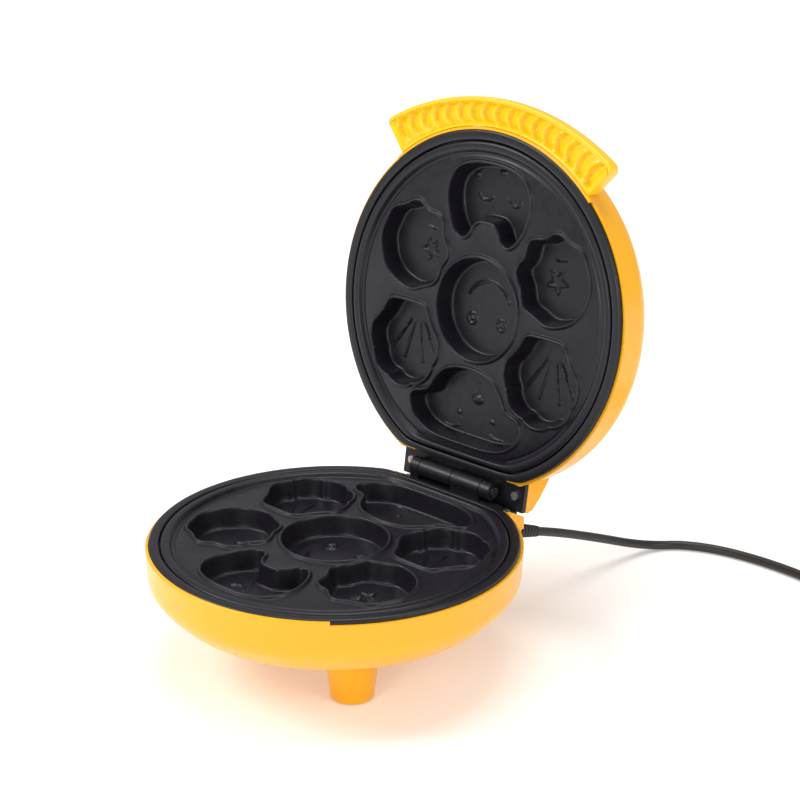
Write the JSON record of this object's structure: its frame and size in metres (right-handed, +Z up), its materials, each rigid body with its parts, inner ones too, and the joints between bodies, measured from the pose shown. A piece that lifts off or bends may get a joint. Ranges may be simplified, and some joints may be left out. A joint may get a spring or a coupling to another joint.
{
  "type": "mini cake maker",
  "caption": "Round clam-shell electric cake maker, lid open: two black plates of shaped moulds in yellow shells, curved lid handle, rear hinge, short legs, power cord.",
  "frame": {"origin": "on the resting surface, under the middle of the box of the object with its lid open (cord left out)", "axes": "+Z up, +Y from the front towards the hinge, +X to the right seen from the front"},
  "size_m": [0.3275, 0.4388, 0.3028],
  "materials": {
    "yellow_plastic": "glossy moulded plastic",
    "nonstick_coating": "satin dark non-stick coating on cast aluminium",
    "black_plastic": "satin black moulded plastic",
    "plated_steel": "zinc plated",
    "bright_steel": "polished",
    "element_steel": "drawn tube",
    "reflector_steel": "bright sheet",
    "black_rubber": "matt",
    "cord_rubber": "satin",
    "red_lens": "clear tinted",
    "green_lens": "clear tinted",
    "ceramic_white": "matt white insulator",
    "lamp_glass": "clear",
    "wire_sleeve": "braided glass sleeve"
  },
  "bodies": {
    "base": {"lower_housing": "yellow_plastic", "lower_trim_ring": "black_plastic", "lower_plate": "nonstick_coating", "lower_plate_screws": "plated_steel", "lower_heater": "element_steel", "lower_heater_clamps": "plated_steel", "lower_reflector": "reflector_steel", "lower_reflector_screws": "plated_steel", "lower_hinge_bracket": "black_plastic", "lower_hinge_screws": "plated_steel", "thermostat": "ceramic_white", "terminal_block": "ceramic_white", "lower_thermal_fuse": "plated_steel", "hinge_pin": "bright_steel", "lower_wiring": "wire_sleeve", "foot_pads": "black_rubber", "cord_strain_relief": "black_rubber", "power_cord": "cord_rubber", "cord_coil": "cord_rubber", "plug_body": "cord_rubber", "plug_pins": "plated_steel"},
    "lid": {"upper_housing": "yellow_plastic", "upper_trim_ring": "black_plastic", "upper_plate": "nonstick_coating", "upper_plate_screws": "plated_steel", "upper_heater": "element_steel", "upper_heater_clamps": "plated_steel", "upper_reflector": "reflector_steel", "upper_reflector_screws": "plated_steel", "upper_hinge_bracket": "black_plastic", "upper_hinge_screws": "plated_steel", "upper_thermal_fuse": "plated_steel", "upper_wiring": "wire_sleeve", "handle": "yellow_plastic", "handle_screws": "plated_steel", "power_lamp_lens": "red_lens", "ready_lamp_lens": "green_lens", "lamp_holder": "ceramic_white", "neon_lamps": "lamp_glass"}
  },
  "joints": [
    {"name": "lid_hinge", "type": "hinge", "parent": "base", "child": "lid", "pos_m": [0, 0.0701, 0.0773], "axis": [1, 0, 0], "range_deg": [0, 98.1]}
  ]
}
